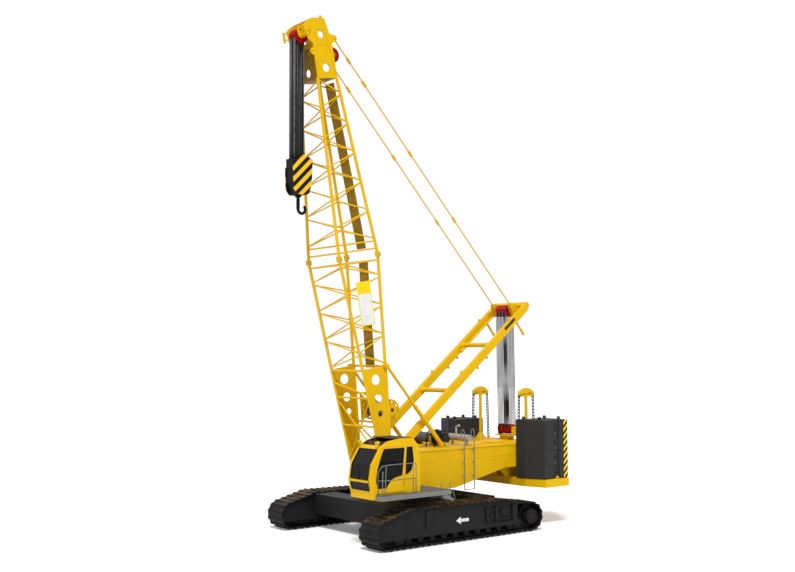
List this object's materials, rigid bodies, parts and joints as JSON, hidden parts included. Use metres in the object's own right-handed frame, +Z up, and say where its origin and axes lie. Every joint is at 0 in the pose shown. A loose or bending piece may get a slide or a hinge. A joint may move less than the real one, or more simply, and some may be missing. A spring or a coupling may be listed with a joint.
{
  "type": "crawler crane",
  "caption": "Yellow crawler crane with a lattice boom held upright, luffing mast and pendants, sliding-door cab, tracks and stacked rear counterweights.",
  "frame": {"origin": "bottom centre of the whole machine, on the ground midway between the tracks", "axes": "+Z up, the front faces -Y, the cab is on +X"},
  "size_m": [6.82, 10.9452, 18.5945],
  "materials": {
    "crane_yellow": "gloss enamel, lightly weathered",
    "ochre_walkway": "expanded mesh painted dark ochre",
    "undercarriage_black": "satin black paint with dust",
    "track_steel": "dark cast steel, worn at the edges",
    "counterweight_grey": "dark grey paint on casting skin",
    "sheave_red": "red paint, bare groove",
    "winch_grey": "dark grey paint with wound wire rope",
    "walkway_grey": "grey paint",
    "muffler_grey": "heat dulled grey",
    "rope_steel": "galvanised wire rope",
    "pin_steel": "turned steel",
    "cab_glass": "dark tinted glass",
    "seat_black": "black seat cover"
  },
  "bodies": {
    "undercarriage": {"carbody": "undercarriage_black", "track_frame_left": "undercarriage_black", "track_frame_right": "undercarriage_black", "track_left": "track_steel", "track_right": "track_steel", "track_wheels_left": "undercarriage_black", "track_wheels_right": "undercarriage_black"},
    "upperworks": {"deck": "crane_yellow", "cab_lamps": "crane_yellow", "counterweight_tray": "crane_yellow", "counterweights": "counterweight_grey", "counterweight_posts": "crane_yellow", "counterweight_chains": "rope_steel", "cab_floor": "crane_yellow", "cab_front_frame": "crane_yellow", "cab_glass": "cab_glass", "cab_left_wall": "crane_yellow", "cab_right_wall": "crane_yellow", "cab_rear_wall": "crane_yellow", "cab_roof": "crane_yellow", "cab_seat": "seat_black", "cab_platform": "walkway_grey", "handrail": "walkway_grey", "access_steps": "walkway_grey", "access_ladder": "walkway_grey", "muffler": "muffler_grey", "luffing_bracket": "crane_yellow", "foot_pins": "pin_steel", "luffing_ropes": "rope_steel"},
    "boom": {"boom_base": "crane_yellow", "boom_top": "crane_yellow", "boom_catwalk": "ochre_walkway", "head_guard": "crane_yellow", "backstops": "crane_yellow"},
    "mast": {"mast": "crane_yellow"},
    "pendant_pair": {"pendants": "crane_yellow"},
    "hoist_falls": {"hoist_ropes": "rope_steel"},
    "hook_housing": {"hook_block": "crane_yellow"},
    "hook_swivelling": {"hook": "undercarriage_black"},
    "cab_sliding_door": {"cab_door": "crane_yellow", "cab_door_glass": "cab_glass"},
    "head_sheave_set": {"head_sheaves": "sheave_red"},
    "guide_sheave_wheel": {"guide_sheave": "sheave_red"},
    "mast_sheave_set": {"mast_sheaves": "sheave_red"},
    "luffing_sheave_set": {"luffing_sheaves": "sheave_red"},
    "boom_winch_rotor": {"boom_winch_drum": "winch_grey", "boom_winch_flanges": "crane_yellow"},
    "deck_winch_rotor": {"deck_winch_drum": "winch_grey"}
  },
  "joints": [
    {"name": "slew", "type": "hinge", "parent": "undercarriage", "child": "upperworks", "pos_m": [0, -0.30171, 1.44], "axis": [0, 0, 1], "continuous": true},
    {"name": "boom_luff", "type": "hinge", "parent": "upperworks", "child": "boom", "pos_m": [0, -1.75171, 2.1], "axis": [1, 0, 0], "range_deg": [0, 63.5]},
    {"name": "mast_luff", "type": "hinge", "parent": "upperworks", "child": "mast", "pos_m": [0, -1.45171, 2.89], "axis": [1, 0, 0], "range_deg": [0, 69.62], "deforming": ["luffing_ropes"]},
    {"name": "pendant_swing", "type": "hinge", "parent": "boom", "child": "pendant_pair", "pos_m": [0, -3.84234, 17.85174], "axis": [1, 0, 0], "range_deg": [-0.16, 0]},
    {"name": "hook_plumb", "type": "hinge", "parent": "boom", "child": "hoist_falls", "pos_m": [0, -5.02431, 17.82465], "axis": [1, 0, 0], "range_deg": [-63.5, 0]},
    {"name": "hoist", "type": "slide", "parent": "hoist_falls", "child": "hook_housing", "axis": [0, 0, 1], "range_m": [-11.3, 3], "deforming": ["hoist_ropes"]},
    {"name": "hook_swivel", "type": "hinge", "parent": "hook_housing", "child": "hook_swivelling", "pos_m": [0, -5.02431, 12.13], "axis": [0, 0, 1], "continuous": true},
    {"name": "cab_door_slide", "type": "slide", "parent": "upperworks", "child": "cab_sliding_door", "axis": [0, 1, 0], "range_m": [0, 0.75]},
    {"name": "head_sheaves_spin", "type": "hinge", "parent": "boom", "child": "head_sheave_set", "pos_m": [0, -5.02431, 17.82465], "axis": [1, 0, 0], "continuous": true},
    {"name": "guide_sheave_spin", "type": "hinge", "parent": "boom", "child": "guide_sheave_wheel", "pos_m": [0, -3.5833, 17.39853], "axis": [1, 0, 0], "continuous": true},
    {"name": "boom_winch_spin", "type": "hinge", "parent": "boom", "child": "boom_winch_rotor", "pos_m": [0, -1.38175, 4.47469], "axis": [1, 0, 0], "continuous": true},
    {"name": "mast_sheaves_spin", "type": "hinge", "parent": "mast", "child": "mast_sheave_set", "pos_m": [0, 4.99131, 8.25238], "axis": [1, 0, 0], "continuous": true},
    {"name": "luffing_sheaves_spin", "type": "hinge", "parent": "upperworks", "child": "luffing_sheave_set", "pos_m": [0, 5.05829, 3.47], "axis": [1, 0, 0], "continuous": true},
    {"name": "deck_winch_spin", "type": "hinge", "parent": "upperworks", "child": "deck_winch_rotor", "pos_m": [0, 0.94829, 3.33], "axis": [1, 0, 0], "continuous": true}
  ],
  "couplings": [
    {"joint": "mast_luff", "follows": "boom_luff", "ratio": 1.0948},
    {"joint": "pendant_swing", "follows": "boom_luff", "ratio": -0.001},
    {"joint": "hook_plumb", "follows": "boom_luff", "ratio": -1}
  ]
}
